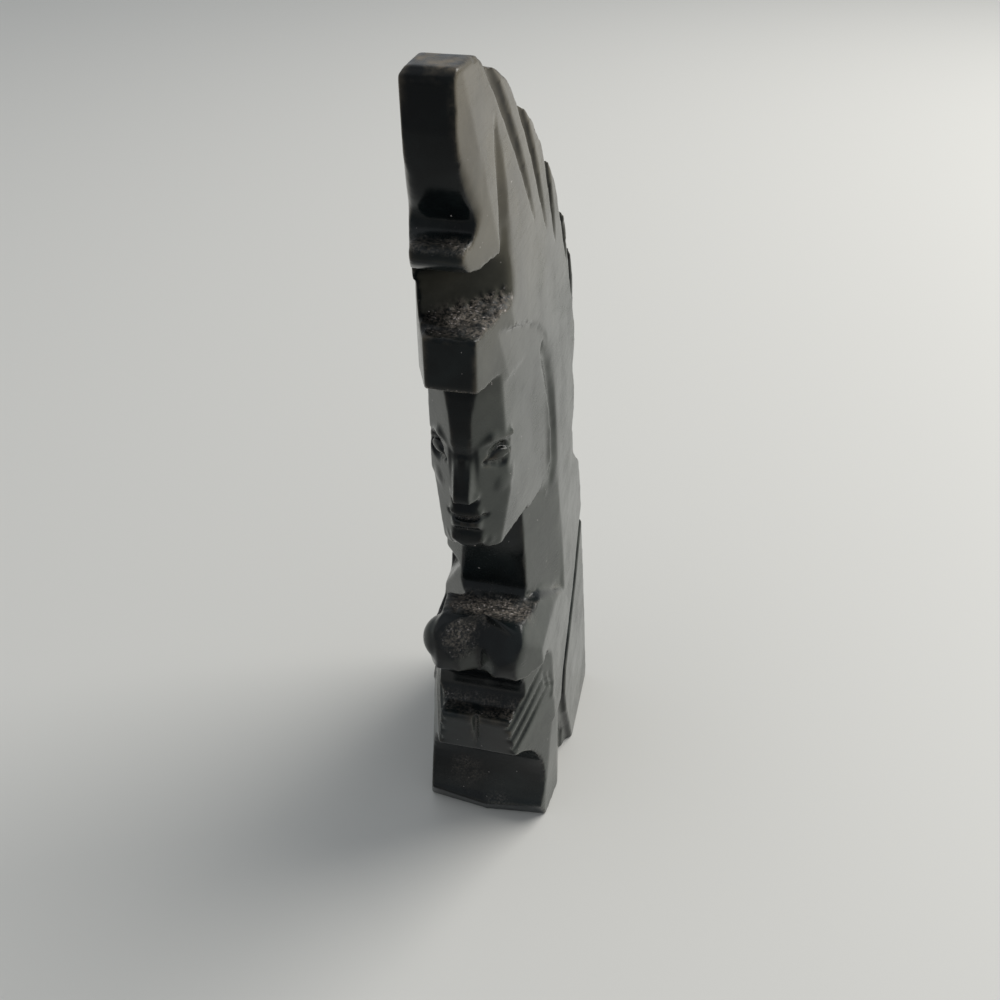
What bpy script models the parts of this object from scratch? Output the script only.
"""Head carving in obsidian: a seated figure under a tall plumed headdress, ground from one slab of stone.

The slab stands on its edge and faces -Y. Its side outline is cut first, then the two broad sides are ground
with flat facets, scoops and grooves. The right side is carved, and the left one is its mirror image.
Run it with blender --background --python part.py, or from the text editor.
"""
import math

import bmesh
import bpy
from mathutils import Matrix, Vector

# Driving sizes, in metres. z is up from the floor, y runs back from the toe, x is to the viewer's right.
HEIGHT = 0.204                     # floor to the flat top of the crest
U = HEIGHT / 204                   # the drawing's unit, which all the carving below is given in
BASE_HALF_THICKNESS = 19.2         # half the slab's thickness at the floor
SIDE_LEAN = 0.072                  # what the right side leans in, for each unit of height
LEFT_LEAN = 0.068                  # and the left side, which was ground a little less
SLAB_BACK = 58.5                   # from the toe back to the rear face
FAR = 40                           # past the stone on every side, for cutters
MIDDLE_GAP = 0.2                   # how far the side cutters stay off the middle
BOTH, RIGHT, LEFT = "both", "right", "left"

# Base and hands
TOE_STRIP = 4.6                    # height of the plain strip along the bottom edge
TOE_SLOPE = 1.8                    # how far that strip leans forward
TOE_TURN = 1.9                     # how far the toe's ends lie behind its middle
TOE_HALF = 16.4                    # half the width at the toe
KNUCKLE_FRONT = -10.6              # front of the clasped hands, forward of the toe
KNUCKLE_BOTTOM = 36.8
KNUCKLE_TOP = 50.0
BASE_SCOOP = 7.8                   # depth of the hollow under the hands
SLIT_DEPTH = 1.6                   # slit between the two hands
SLIT_WIDTH = 1.8
FINGER_GROOVES = 3
WRIST_GROOVES = 2
HEEL_BEVEL = 5.0                   # bevel of the bottom rear corner

# Lumps, chest and arms
LUMP_FRONT = -10.4
LUMP_BOTTOM = 63.5
LUMP_TOP = 77.0
RECESS_DEPTH = 3.6                 # hollow between the hands and the lumps
VALLEY_HALF_WIDTH = 5.0            # valley between the lumps, at their front
VALLEY_FLOOR = -5.6
CHEST_FRONT = 9.0
CHEST_FRONT_HALF = 7.9
CHEST_BOTTOM = 74.0
CHEST_HEIGHT = 25.5
NECK_TOP = CHEST_BOTTOM + CHEST_HEIGHT

# Head. The features divide the face in thirds, from the band down to the chin.
NECK_GAP = 6.0                     # height of the neck that shows under the chin
FACE_BOTTOM = NECK_TOP + NECK_GAP
FACE_HEIGHT = 41.5
FACE_TOP = FACE_BOTTOM + FACE_HEIGHT
FACE_THIRD = FACE_HEIGHT / 3
BROW = FACE_TOP - FACE_THIRD
NOSE_BASE = BROW - FACE_THIRD
MOUTH = NOSE_BASE - FACE_THIRD / 3
EYE = BROW - FACE_THIRD / 3
FOREHEAD_FRONT = -18.0
CHIN_FRONT = -14.6
NOSE_REACH = 3.4                   # nose tip, forward of the line from forehead to chin
LIP_REACH = 0.9
FACE_HALF = 8.4                    # half the width of the face behind its wedge-shaped front, on the left
CHEEK_RECESS = 1.0                 # how much further the right cheek lies in, under the band
WEDGE_SLOPE = 0.85                 # how fast that front widens
NOSE_HALF = 1.7                    # half the width of the nose tip
EYE_BACK = -12.0                   # middle of the eye, along the side of the head
SOCKET_DEPTH = 1.2
EYE_LENGTH = 7.6
EYE_HEIGHT = 4.4

# Headdress
BAND_FRONT = -23.5
BAND_FRONT_HALF = 4.8
BAND_HEIGHT = 10.8
BAND_BOTTOM = FACE_TOP + 1.2
BAND_TOP = BAND_BOTTOM + BAND_HEIGHT
SLOT_HEIGHT = 12.1
SLOT_TOP = BAND_TOP + SLOT_HEIGHT
SLOT_END = -4.5                    # how far back the slot under the crest reaches
SLOT_ROUND = 4.0                   # bulge of its round end
SLOT_SKEW = 0.9                    # how far its end comes forward, for each unit to the left
SLOT_MOUTH_LOW = (-20.5, BAND_TOP)     # the stone left of the slot's end, which fills its mouth
SLOT_MOUTH_HIGH = (-20.5, SLOT_TOP + 0.2)
CREST_FRONT = -30.4
CREST_FRONT_HALF = 4.15
CREST_TOP = HEIGHT / U
CREST_FLAT = 7.4                   # length of the flat top
CREST_FALL = 0.1                   # how far its back end lies under its front
CREST_CORNER = 3.4                 # half the top's width on the left, where its corner is ground off
CREST_SCOOP = 7.6                  # hollow in the front of the crest
LIP_HEIGHT = 6.3                   # height of the lip between the slot and the ledge under that hollow
LEDGE = SLOT_TOP + LIP_HEIGHT
PLUME_END = (55.5, 138)            # where the crown's outline turns down the back
PLUME_BOW = 10.4                   # bulge of the plume's outline over its chord
CROWN_TIP = 1.5                    # bulge of each feather tip along the crown
BACK_TIP = 3.0                     # and of those down the back
FEATHER_GROOVE_RADIUS = 1.8
HOOD_DEPTH = 0.9                   # step down from the ridge to the band

COLOUR = (0.012, 0.015, 0.015, 1.0)
ROUGHNESS = 0.22


def side(z):
    """Half the slab's thickness at the height z, in units."""
    return BASE_HALF_THICKNESS - SIDE_LEAN * z


def mix(a, b, share):
    return a + (b - a) * share


def bow(start, end, bulge, steps=8):
    """Points from start to end along an arc that bulges to the right of that direction, without the last."""
    a, b = Vector(start), Vector(end)
    chord = (b - a).length
    if abs(bulge) < 1e-6:
        return [tuple(a)]
    radius = (chord * chord / 4 + bulge * bulge) / (2 * bulge)
    along = (b - a) / chord
    right = Vector((along.y, -along.x))
    centre = (a + b) / 2 + right * (bulge - radius)
    half = math.asin(max(-1.0, min(1.0, chord / (2 * radius))))
    points = []
    for i in range(steps):
        turn = mix(-half, half, i / steps)
        points.append(tuple(centre + right * radius * math.cos(turn) + along * radius * math.sin(turn)))
    return points


# The side outline, as (y, z) in units, one stretch after the other up the front and down the back.

def base_outline():
    toe = -TOE_TURN
    under_hands = (KNUCKLE_FRONT + 0.3, KNUCKLE_BOTTOM)
    return [(toe + TOE_SLOPE * 2 / 3, 0)] + bow((toe - TOE_SLOPE / 3, TOE_STRIP), under_hands, BASE_SCOOP, 12)


def body_outline():
    hands = [
        (KNUCKLE_FRONT + 0.3, KNUCKLE_BOTTOM),
        (KNUCKLE_FRONT - 1.2, KNUCKLE_TOP - 1),
        (KNUCKLE_FRONT - 0.4, KNUCKLE_TOP),
        (KNUCKLE_FRONT + 4.0, KNUCKLE_TOP - 0.6),
    ]
    recess_end = (LUMP_FRONT + 0.9, LUMP_BOTTOM - 0.6)
    recess = bow((KNUCKLE_FRONT + 5.2, KNUCKLE_TOP + 0.4), recess_end, RECESS_DEPTH, 5) + [recess_end]
    lumps = bow((LUMP_FRONT + 0.3, LUMP_BOTTOM + 1), (LUMP_FRONT + 6.6, LUMP_TOP - 0.8), -2.6, 6)
    ledge = [(LUMP_FRONT + 6.6, LUMP_TOP - 0.8), (LUMP_FRONT + 9, LUMP_TOP - 1.4), (CHEST_FRONT - 3, CHEST_BOTTOM - 0.4)]
    chest = [(CHEST_FRONT - 0.9, CHEST_BOTTOM + 0.4), (CHEST_FRONT, CHEST_BOTTOM + 2.2), (CHEST_FRONT - 1.0, NECK_TOP)]
    return hands + recess + lumps + ledge + chest


def face_front(z):
    """The line from forehead to chin that the features stand out from."""
    return mix(CHIN_FRONT, FOREHEAD_FRONT, (z - FACE_BOTTOM) / (FACE_TOP - FACE_BOTTOM))


def head_outline():
    chin = FACE_BOTTOM + FACE_THIRD * 0.22
    dip = mix(FACE_BOTTOM, MOUTH, 0.55)
    nasion = mix(EYE, BROW, 0.35)
    jaw = [(CHEST_FRONT - 2.5, FACE_BOTTOM - 2.6), (CHIN_FRONT + 4.5, FACE_BOTTOM - 0.9)]
    chin_round = [(CHIN_FRONT + 1.8, FACE_BOTTOM), (face_front(chin) - 0.3, chin)]
    mouth = [
        (face_front(dip) + 1.1, dip),
        (face_front(MOUTH) - LIP_REACH + 0.2, mix(MOUTH, dip, 0.5)),
        (face_front(MOUTH) + 0.5, MOUTH),
        (face_front(MOUTH) - LIP_REACH, mix(MOUTH, NOSE_BASE, 0.45)),
        (face_front(NOSE_BASE) + 0.7, NOSE_BASE),
    ]
    nose = [
        (face_front(NOSE_BASE) - NOSE_REACH + 0.6, NOSE_BASE + 0.6),
        (face_front(NOSE_BASE) - NOSE_REACH, NOSE_BASE + 2.2),
        (face_front(nasion) - 0.1, nasion),
    ]
    forehead = bow((face_front(BROW) - 0.9, BROW), (FOREHEAD_FRONT + 1.0, FACE_TOP), -0.7, 4)
    return jaw + chin_round + mouth + nose + forehead + [(FOREHEAD_FRONT + 1.0, FACE_TOP)]


def crest_outline():
    band = [(BAND_FRONT + 0.5, BAND_BOTTOM), (BAND_FRONT, BAND_BOTTOM + 0.9), (BAND_FRONT - 0.1, BAND_TOP)]
    lip_start = (CREST_FRONT + 8.5, SLOT_TOP + 0.2)
    lip_front = (CREST_FRONT + 1.5, SLOT_TOP + 3.8)
    lip = [SLOT_MOUTH_LOW, SLOT_MOUTH_HIGH] + bow(lip_start, lip_front, -1.0, 5) + [lip_front]
    ledge = (CREST_FRONT + 3.2, LEDGE)
    deepest = (CREST_FRONT + CREST_SCOOP, LEDGE + 3.0)
    scoop_top = (CREST_FRONT, mix(LEDGE, CREST_TOP, 0.66))
    scoop = [(CREST_FRONT + 1.6, LEDGE - 0.9)] + bow(ledge, deepest, 1.5, 5) + bow(deepest, scoop_top, -1.2, 8)
    flat_end = (CREST_FRONT + CREST_FLAT, CREST_TOP - CREST_FALL)
    top = [scoop_top, (CREST_FRONT - 0.1, CREST_TOP - 1.4), (CREST_FRONT + 1.2, CREST_TOP), flat_end]
    return band + lip + scoop + top


def slot_outline():
    """The slot under the crest as it shows on the right side, from in front of the stone to its round end."""
    floor_end = (SLOT_END - 2.6, BAND_TOP + 1.2)
    roof_start = (SLOT_END - 9.2, SLOT_TOP - 0.3)
    low = [(-FAR * 2, BAND_TOP), (BAND_FRONT, BAND_TOP), (mix(BAND_FRONT, SLOT_END, 0.4), BAND_TOP + 0.5)]
    high = [roof_start, (CREST_FRONT + 12, SLOT_TOP), (CREST_FRONT, SLOT_TOP), (-FAR * 2, SLOT_TOP)]
    return low + bow(floor_end, roof_start, SLOT_ROUND, 8) + high


def plume_notches():
    """Where the gaps between the feather tips meet the crown's outline."""
    shares = (0.085, 0.295, 0.56, 0.75, 0.885)
    steps = 200
    arc = bow((CREST_FRONT + CREST_FLAT, CREST_TOP - CREST_FALL), PLUME_END, -PLUME_BOW, steps)
    return [arc[round(share * steps)] for share in shares]


def plume_outline():
    """The feather tips, from the flat top of the crest down the back of the head to the shoulder."""
    crown = plume_notches()
    back = [(SLAB_BACK - 4.6, 130), (SLAB_BACK - 7, 114.5), (SLAB_BACK - 10.5, 99)]
    points = bow((CREST_FRONT + CREST_FLAT, CREST_TOP - CREST_FALL), crown[0], -0.9, 4)[1:]
    for start, end in zip(crown, crown[1:]):
        points += bow(start, end, -CROWN_TIP, 6)
    for start, end in zip([crown[-1]] + back, back):
        points += bow(start, end, -BACK_TIP, 7)
    return points + [back[-1], (SLAB_BACK - 10, 91)]


def slab_outline():
    return [
        (SLAB_BACK - 2.5, 83.5),
        (SLAB_BACK - 0.8, 75),
        (SLAB_BACK, 28),
        (SLAB_BACK - 0.8, HEEL_BEVEL * 0.5),
        (SLAB_BACK - 1.8, 0),
    ]


def side_outline():
    return base_outline() + body_outline() + head_outline() + crest_outline() + plume_outline() + slab_outline()


# Making of solids

def keep(collection, name, mesh):
    obj = bpy.data.objects.new(name, mesh)
    collection.objects.link(obj)
    return obj


def as_mesh(curve):
    """The mesh of a curve, welded, in the curve's own frame."""
    scratch = bpy.data.objects.new("outline", curve)
    bpy.context.scene.collection.objects.link(scratch)
    bpy.context.view_layer.update()
    mesh = bpy.data.meshes.new_from_object(scratch.evaluated_get(bpy.context.evaluated_depsgraph_get()))
    bpy.data.objects.remove(scratch)
    bm = bmesh.new()
    bm.from_mesh(mesh)
    bmesh.ops.remove_doubles(bm, verts=bm.verts, dist=1e-6)
    bm.to_mesh(mesh)
    bm.free()
    return mesh


def plate(outline, half_thickness):
    """A mesh of the (y, z) outline in units, thickened along x on both sides of the middle."""
    curve = bpy.data.curves.new("outline", "CURVE")
    curve.dimensions = "2D"
    curve.fill_mode = "BOTH"
    curve.extrude = half_thickness * U
    spline = curve.splines.new("POLY")
    spline.points.add(len(outline) - 1)
    for point, (y, z) in zip(spline.points, outline):
        point.co = (y * U, z * U, 0, 1)
    spline.use_cyclic_u = True
    mesh = as_mesh(curve)
    mesh.transform(Matrix(((0, 0, 1, 0), (1, 0, 0, 0), (0, 1, 0, 0), (0, 0, 0, 1))))
    return mesh


def trim(mesh, point, normal):
    """Cut off what lies on the normal's side of a plane and close the cut."""
    bm = bmesh.new()
    bm.from_mesh(mesh)
    geometry = bm.verts[:] + bm.edges[:] + bm.faces[:]
    cut = bmesh.ops.bisect_plane(bm, geom=geometry, plane_co=point, plane_no=normal, clear_outer=True)
    edges = [item for item in cut["geom_cut"] if isinstance(item, bmesh.types.BMEdge)]
    bmesh.ops.holes_fill(bm, edges=edges)
    bmesh.ops.recalc_face_normals(bm, faces=bm.faces)
    bm.to_mesh(mesh)
    bm.free()
    return mesh


def facet(outline, half, slope_back=0.0, slope_up=0.0, at=(0, 0)):
    """A cutter over the (y, z) outline that leaves a flat facet.

    The facet is half units from the middle at the place given by at, and that grows by slope_back for each unit
    back and by slope_up for each unit up.
    """
    y, z = at
    point = Vector((half, y, z)) * U
    normal = Vector((-1, slope_back, slope_up)).normalized()
    right_side = plate(outline, (FAR - MIDDLE_GAP) / 2)
    right_side.transform(Matrix.Translation(((FAR + MIDDLE_GAP) / 2 * U, 0, 0)))
    return trim(right_side, point, normal)


def slab_side(y, z):
    return side(z)


def along(values, share):
    """The value at a share of the way along a list of evenly spaced values."""
    place = share * (len(values) - 1)
    low = min(int(place), len(values) - 2)
    return mix(values[low], values[low + 1], place - low)


def left_handed(mesh):
    """The mirror image of a cutter for the right side."""
    mesh.transform(Matrix.Scale(-1, 4, (1, 0, 0)))
    mesh.flip_normals()
    return mesh


def groove(path, radii, depths, surface=slab_side):
    """A round channel cutter along the (y, z) path over a side, with radii and depths from its start to its end."""
    curve = bpy.data.curves.new("channel", "CURVE")
    curve.dimensions = "3D"
    curve.bevel_depth = U
    curve.bevel_resolution = 2
    curve.use_fill_caps = True
    spline = curve.splines.new("POLY")
    spline.points.add(len(path) - 1)
    for i, (y, z) in enumerate(path):
        share = i / (len(path) - 1)
        radius = along(radii, share)
        out = surface(y, z) + radius - along(depths, share)
        spline.points[i].co = (out * U, y * U, z * U, 1)
        spline.points[i].radius = radius
    return as_mesh(curve)


def ball(centre, size):
    """An ellipsoid cutter with its centre and half sizes in units."""
    bm = bmesh.new()
    bmesh.ops.create_uvsphere(bm, u_segments=16, v_segments=10, radius=1)
    bmesh.ops.scale(bm, vec=Vector(size) * U, verts=bm.verts)
    bmesh.ops.translate(bm, vec=Vector(centre) * U, verts=bm.verts)
    mesh = bpy.data.meshes.new("ball")
    bm.to_mesh(mesh)
    bm.free()
    return mesh


def wedge(outline, low, high):
    """A cutter with an (x, y) outline that stands from the height low to high, in units."""
    curve = bpy.data.curves.new("outline", "CURVE")
    curve.dimensions = "2D"
    curve.fill_mode = "BOTH"
    curve.extrude = (high - low) / 2 * U
    spline = curve.splines.new("POLY")
    spline.points.add(len(outline) - 1)
    for point, (x, y) in zip(spline.points, outline):
        point.co = (x * U, y * U, 0, 1)
    spline.use_cyclic_u = True
    mesh = as_mesh(curve)
    mesh.transform(Matrix.Translation((0, 0, (low + high) / 2 * U)))
    return mesh


# The cutters, by the name of what each leaves on the stone

def headdress_cutters():
    ahead = -FAR
    above = CREST_TOP + 6
    crest_zone = [(ahead, above), (0, above), (0, SLOT_TOP - 5), (ahead, SLOT_TOP - 5)]
    yield "crest_right", facet(crest_zone, CREST_FRONT_HALF, 0.16, at=(CREST_FRONT, 0)), RIGHT
    yield "crest_left", left_handed(facet(crest_zone, CREST_FRONT_HALF, 0.28, at=(CREST_FRONT, 0))), LEFT
    corner_zone = [(ahead, above), (0, above), (0, CREST_TOP - 12), (ahead, CREST_TOP - 12)]
    corner = facet(corner_zone, CREST_CORNER, 0.04, -0.7, at=(CREST_FRONT, CREST_TOP))
    yield "crest_corner", left_handed(corner), LEFT
    band_zone = [(ahead, 167), (0, 167), (0, 152), (8, 140), (ahead, 140)]
    yield "band_right", facet(band_zone, BAND_FRONT_HALF, 0.2, at=(BAND_FRONT, 0)), RIGHT
    yield "band_left", left_handed(facet(band_zone, BAND_FRONT_HALF, 0.42, at=(BAND_FRONT, 0))), LEFT
    ridge = [(-14, 156.5), (-3, 152.5), (8, 147.8), (14.5, 144), (20, 139.7), (25.5, 132.5), (31, 122), (34, 115), (37, 103)]
    inner = [(24, 99), (24, 122), (19, 134), (8, 139), (-14, 143)]
    yield "hood", facet(ridge + inner, side(140) - HOOD_DEPTH, 0.03, -SIDE_LEAN, at=(0, 140)), BOTH
    strap = [(17, 138), (22, 130), (24, 122), (24.8, 112), (24, 104), (20, 98)]
    yield "strap_groove", groove(strap, (1.5, 2.0, 2.0, 1.6), (1.6, 2.6, 2.6, 1.8)), BOTH
    hollow = [(-10.5, 166), (-9.6, 172), (-9.2, 180), (-10, 187), (-11.5, 193)]
    yield "crest_hollow", groove(hollow, (6.0, 5.6, 4.6, 3.0), (1.9, 1.8, 1.3, 0.2)), BOTH


def feather_cutters():
    roots = ((15, 166.5), (26, 160.5), (35, 154.5), (47.6, 144.5), (52.8, 133))
    bows = (2.6, 2.2, 1.2, 1.0, 0.5)
    for i, (notch, root, bulge) in enumerate(zip(plume_notches(), roots, bows)):
        past = 0.12
        outside = (mix(notch[0], root[0], -past), mix(notch[1], root[1], -past))
        path = bow(outside, root, -bulge, 8) + [root]
        radius = FEATHER_GROOVE_RADIUS * (1 - 0.08 * i)
        yield f"feather_groove_{i + 1}", groove(path, (radius * 0.8, radius, radius * 0.9, radius * 0.3), (1.1, 1.6, 1.4, 0.3)), BOTH


def face_cutters():
    ahead = FOREHEAD_FRONT - 12
    under_band = [(-17, 146), (-7, 144.2), (4, 142.5), (14, 139.3), (19.5, 135.5)]
    strap_front = [(21, 130), (21.5, 118), (22, 104), (20, 99.5)]
    zone = [(ahead, BAND_BOTTOM)] + under_band + strap_front + [(ahead, 99.5)]
    right_half = FACE_HALF - CHEEK_RECESS
    yield "cheek_right", facet(zone, right_half, 0.06, -0.03, at=(CHIN_FRONT, EYE)), RIGHT
    yield "cheek_left", left_handed(facet(zone, FACE_HALF, 0.07, -0.03, at=(CHIN_FRONT, EYE))), LEFT
    lean = (CHIN_FRONT - FOREHEAD_FRONT) / (FACE_TOP - FACE_BOTTOM)
    behind_line = 0.3
    low = FACE_BOTTOM - 2
    wedge_zone = [(ahead, BAND_BOTTOM), (-8, 147), (-8, low), (face_front(low) + behind_line, low)]
    wedge_zone += [(face_front(BROW) + behind_line, BROW), (ahead, BROW)]
    yield "face_wedge", facet(wedge_zone, 2.6, WEDGE_SLOPE, WEDGE_SLOPE * lean, at=(FOREHEAD_FRONT, FACE_TOP)), BOTH
    jaw_zone = [(ahead, EYE - 5), (22, EYE - 12), (22, 99), (ahead, 98)]
    yield "jaw", facet(jaw_zone, FACE_HALF - CHEEK_RECESS, 0.16, 0.12, at=(CHIN_FRONT, EYE - 8)), BOTH
    nose_back = behind_line + 0.1
    nose_tip = face_front(NOSE_BASE) - NOSE_REACH
    nose_zone = [(ahead, BROW), (face_front(BROW) + nose_back, BROW), (face_front(NOSE_BASE) + nose_back, NOSE_BASE)]
    nose_zone += [(ahead, NOSE_BASE)]
    yield "nose_side", facet(nose_zone, NOSE_HALF, 0.3, -0.04, at=(nose_tip, NOSE_BASE)), BOTH
    mouth_zone = [(ahead, NOSE_BASE), (face_front(NOSE_BASE) + nose_back, NOSE_BASE), (face_front(low) + nose_back, low)]
    mouth_zone += [(ahead, low)]
    yield "mouth_side", facet(mouth_zone, 2.2, 0.8, at=(face_front(MOUTH) - LIP_REACH, 0)), BOTH
    socket = (eye_side(EYE_BACK) + SOCKET_DEPTH * 0.8, EYE_BACK - SOCKET_DEPTH * 0.7, EYE)
    yield "eye_socket", ball(socket, (SOCKET_DEPTH * 2.4, EYE_LENGTH / 2 + 0.6, EYE_HEIGHT / 2 + 1.0)), BOTH


def eye_side(y):
    """How far out the side of the face is at the height of the eyes."""
    wedge_half = 2.6 + WEDGE_SLOPE * (y - face_front(EYE))
    return min(wedge_half, FACE_HALF + 0.07 * (y - CHIN_FRONT))


def body_cutters():
    ahead = -FAR
    over_ledge = CHEST_FRONT - 2.5
    chest_top = [(over_ledge, 101.5), (19, 101.5), (28, 96), (25, 82), (24, 74)]
    chest_zone = chest_top + [(21, CHEST_BOTTOM - 3), (10, CHEST_BOTTOM - 1.2), (over_ledge, CHEST_BOTTOM)]
    left_zone = chest_top + [(24, LUMP_BOTTOM), (over_ledge, LUMP_BOTTOM)]
    yield "chest_right", facet(chest_zone, CHEST_FRONT_HALF, 0.28, -0.04, at=(CHEST_FRONT, 84)), RIGHT
    yield "chest_left", left_handed(facet(left_zone, CHEST_FRONT_HALF, 0.8, -0.04, at=(CHEST_FRONT, 84))), LEFT
    behind_lump = LUMP_FRONT + 6
    ledge_zone = [(behind_lump, 80), (over_ledge + 1, 80), (over_ledge + 1, LUMP_BOTTOM + 1), (behind_lump + 1, LUMP_BOTTOM + 1)]
    yield "ledge_left", left_handed(facet(ledge_zone, 10.4, 0.1, -0.1, at=(0, CHEST_BOTTOM))), LEFT
    lump_zone = [(ahead, 80), (6, 80), (6, 60), (ahead, 60)]
    yield "lump_side", facet(lump_zone, 11.4, 0.55, at=(LUMP_FRONT + 3.4, 0)), BOTH
    shoulder_zone = [(ahead, 80), (22, 80), (22, 66), (ahead, 62)]
    yield "lump_shoulder", facet(shoulder_zone, 14.2, 0.02, -0.45, at=(0, LUMP_BOTTOM + 3.5)), BOTH
    hand_zone = [(ahead, 61), (4, 61), (13, 51), (7, 42), (12, 33), (18, 25), (24, -5), (ahead, -5)]
    yield "hand_side", facet(hand_zone, 9.7, 0.34, -0.08, at=(KNUCKLE_FRONT, 40)), BOTH
    base_zone = [(ahead, 32), (14, 32), (24, 12), (26, -5), (ahead, -5)]
    yield "base_side", facet(base_zone, TOE_HALF, 0.12, -0.03), BOTH
    heel_zone = [(8, 32), (18, 30), (25.5, 8), (25.5, -5), (8, -5)]
    yield "base_back", facet(heel_zone, TOE_HALF + 1.5, -0.16, -0.03, at=(12, 0)), BOTH
    path = [(66, 71), (55, 62), (43, 50), (33, 42), (24, 35.5), (19.5, 28), (20, 18), (23, 8), (26, -4)]
    yield "arm_groove", groove(path, (2.2, 2.4, 3.0, 5.0, 7.0), (1.3, 1.5, 2.0, 2.6, 3.2)), BOTH
    toe_zone = [(ahead, 14), (3, 14), (3, -5), (ahead, -5)]
    turn = TOE_HALF / TOE_TURN
    yield "toe_turn", facet(toe_zone, 0, turn, turn * 0.4, at=(-TOE_TURN - 0.6, TOE_STRIP)), BOTH


def middle_cutters():
    valley_half = VALLEY_HALF_WIDTH * 1.6
    valley_front = LUMP_FRONT - 3
    valley = [(0, VALLEY_FLOOR), (valley_half, valley_front), (-valley_half, valley_front)]
    yield "valley", wedge(valley, LUMP_BOTTOM - 2.5, LUMP_TOP + 3), RIGHT
    slit_front = KNUCKLE_FRONT - 6
    slit_end = KNUCKLE_FRONT - 0.8 + SLIT_DEPTH
    half = SLIT_WIDTH / 2
    slit = [(0, slit_end), (half, slit_end - SLIT_DEPTH), (half, slit_front), (-half, slit_front), (-half, slit_end - SLIT_DEPTH)]
    yield "slit", wedge(slit, KNUCKLE_BOTTOM - 1, KNUCKLE_TOP + 1), RIGHT
    slot = plate(slot_outline(), FAR)
    reach = side(SLOT_TOP) * SLOT_SKEW
    slot.transform(Matrix(((1, 0, 0, 0), (SLOT_SKEW, 1, 0, -reach * U), (0, 0, 1, 0), (0, 0, 0, 1))))
    yield "slot", slot, RIGHT


def hand_side(y, z):
    """How far out the ground side of the hand is at a place."""
    return 9.7 + 0.34 * (y - KNUCKLE_FRONT) - 0.08 * (z - 40)


def finger_cutters():
    """Slanting grooves from the front corner of the hands up and back, and two short ones at the wrist."""
    pitch = (KNUCKLE_TOP - KNUCKLE_BOTTOM) / FINGER_GROOVES
    for i in range(FINGER_GROOVES):
        low = (KNUCKLE_FRONT - 2, KNUCKLE_BOTTOM + pitch * (i + 0.4))
        high = (5.2 - i * 0.6, low[1] + 8)
        path = bow(low, high, 0.8, 5) + [high]
        yield f"finger_groove_{i + 1}", groove(path, (1.1, 1.2, 0.5), (1.0, 1.1, 0.3), surface=hand_side), BOTH
    for i in range(WRIST_GROOVES):
        path = [(4.2 + 2.4 * i, 53 - 2 * i), (6.0 + 2.4 * i, 46.5 - 2 * i)]
        yield f"wrist_groove_{i + 1}", groove(path, (0.5, 0.8), (0.3, 0.7), surface=hand_side), BOTH


def carve(stone, cutter):
    cut = stone.modifiers.new(cutter.name, "BOOLEAN")
    cut.operation = "DIFFERENCE"
    cut.solver = "EXACT"
    cut.object = cutter


def stone_material():
    material = bpy.data.materials.new("obsidian")
    material.use_nodes = True
    shader = material.node_tree.nodes["Principled BSDF"]
    shader.inputs["Base Color"].default_value = COLOUR
    shader.inputs["Roughness"].default_value = ROUGHNESS
    shader.inputs["Metallic"].default_value = 0.0
    material.diffuse_color = COLOUR
    return material


def build_stone():
    parts = bpy.data.collections.new("obsidian head carving")
    cutters = bpy.data.collections.new("cutters")
    bpy.context.scene.collection.children.link(parts)
    bpy.context.scene.collection.children.link(cutters)

    outline = side_outline()
    mesh = plate(outline, BASE_HALF_THICKNESS + 5)
    for hand, lean in ((1, SIDE_LEAN), (-1, LEFT_LEAN)):
        normal = Vector((hand, 0, lean)).normalized()
        trim(mesh, Vector((hand * BASE_HALF_THICKNESS * U, 0, 0)), normal)
    stone = keep(parts, "head_carving", mesh)
    mesh.materials.append(stone_material())

    groups = (headdress_cutters, feather_cutters, face_cutters, body_cutters, finger_cutters, middle_cutters)
    for group in groups:
        for name, shape, hands in group():
            cutter = keep(cutters, "cut_" + name, shape)
            cutter.hide_render = True
            cutter.display_type = "WIRE"
            if hands == BOTH:
                other_side = cutter.modifiers.new("left side", "MIRROR")
                other_side.use_mirror_merge = False
            carve(stone, cutter)

    # The outline is drawn from the toe, and the finished stone is centred over its own footprint box.
    depths = [y for y, z in outline]
    centre = Vector((0, (min(depths) + max(depths)) / 2 * U, 0))
    frame = bpy.data.objects.new("frame", None)
    parts.objects.link(frame)
    frame.location = -centre
    for obj in [stone] + list(cutters.objects):
        obj.parent = frame
    return stone


def main():
    for obj in list(bpy.data.objects):
        bpy.data.objects.remove(obj)
    build_stone()


main()
